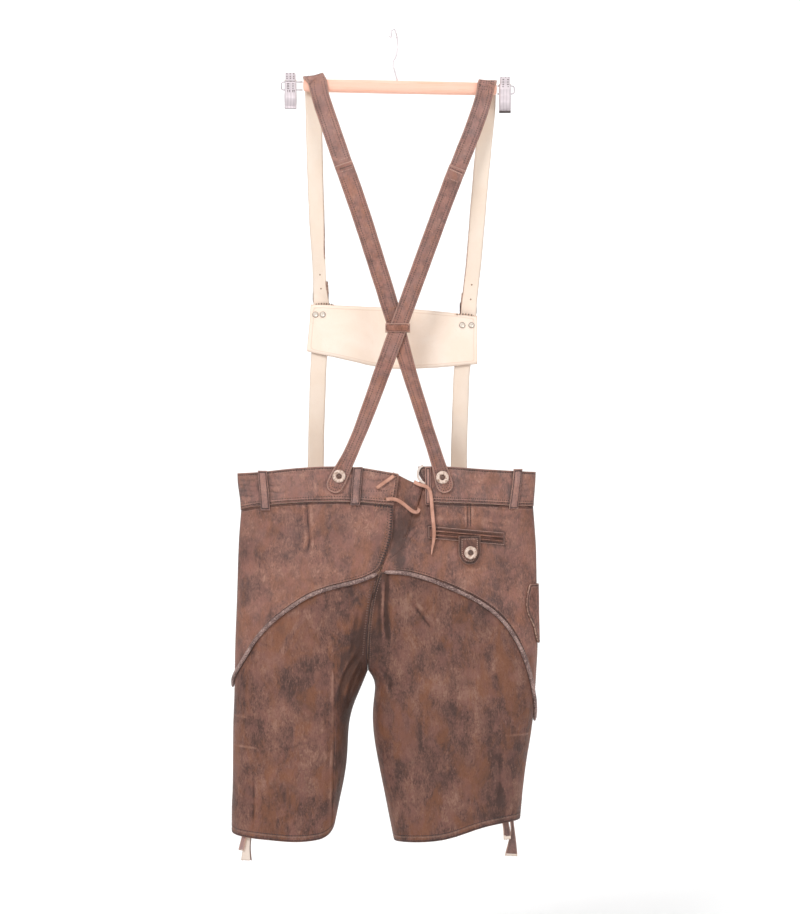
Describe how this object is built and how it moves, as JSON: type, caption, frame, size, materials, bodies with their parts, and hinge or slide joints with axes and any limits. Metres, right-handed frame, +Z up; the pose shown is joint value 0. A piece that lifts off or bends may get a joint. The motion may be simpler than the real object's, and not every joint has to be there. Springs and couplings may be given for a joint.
{
  "type": "lederhosen on a clip hanger",
  "caption": "Knee-length leather breeches with crossed braces, a breast bar and a front drop flap, hung by the braces over a wooden clip hanger with a wire hook.",
  "frame": {"origin": "underside of the hook's crest, where the rail carries it", "axes": "+Z up; the garment's back faces -Y and its front +Y; +X to the wearer's right"},
  "size_m": [0.4621, 0.1263, 1.2393],
  "materials": {
    "brown_leather": "soft nap, mottled red-brown with dark grey-brown patches",
    "dark_leather": "soft nap, dark brown",
    "grey_piping": "corded, grey-brown",
    "flesh_side": "suede, cream",
    "tan_thong": "smooth, tan",
    "horn_button": "polished, pale rim and dark middle",
    "steel": "bright plated",
    "pale_wood": "satin varnish"
  },
  "bodies": {
    "root": {"back_button_left": "horn_button", "back_button_right": "horn_button", "back_gusset": "brown_leather", "back_leg_left": "brown_leather", "back_leg_right": "brown_leather", "back_strap_to_left": "brown_leather", "back_strap_to_right": "brown_leather", "back_yoke_left": "brown_leather", "back_yoke_right": "brown_leather", "belt_loop_back_1": "dark_leather", "belt_loop_back_2": "dark_leather", "belt_loop_back_3": "dark_leather", "belt_loop_back_4": "dark_leather", "belt_loop_front_left": "dark_leather", "belt_loop_front_right": "dark_leather", "breast_bar": "flesh_side", "buckle_left": "steel", "buckle_right": "steel", "buckle_tab_left": "brown_leather", "buckle_tab_right": "brown_leather", "chest_button_left": "horn_button", "chest_button_right": "horn_button", "chest_strap_left": "brown_leather", "chest_strap_right": "brown_leather", "flap_button_left": "horn_button", "flap_button_right": "horn_button", "front_flap": "brown_leather", "front_left": "brown_leather", "front_right": "brown_leather", "hanger_arm_left": "steel", "hanger_arm_right": "steel", "hanger_bar": "pale_wood", "hanger_clip_left": "steel", "hanger_clip_right": "steel", "hanger_hook": "steel", "hem_tie_left_long": "flesh_side", "hem_tie_left_short": "brown_leather", "hem_tie_right_long": "flesh_side", "hem_tie_right_short": "brown_leather", "knife_pocket": "dark_leather", "lace_end": "tan_thong", "lace_slack": "tan_thong", "lace_stitch": "tan_thong", "pocket_button": "horn_button", "pocket_tab": "brown_leather", "pocket_welt": "dark_leather", "rivet_left_1": "steel", "rivet_left_2": "steel", "rivet_right_1": "steel", "rivet_right_2": "steel", "shoulder_strap_left": "brown_leather", "shoulder_strap_right": "brown_leather", "strap_keeper": "dark_leather", "waist_button": "horn_button", "waistband_back_left": "brown_leather", "waistband_back_right": "brown_leather", "waistband_front_left": "brown_leather", "waistband_front_right": "brown_leather", "yoke_piping_left": "grey_piping", "yoke_piping_right": "grey_piping"}
  },
  "joints": []
}
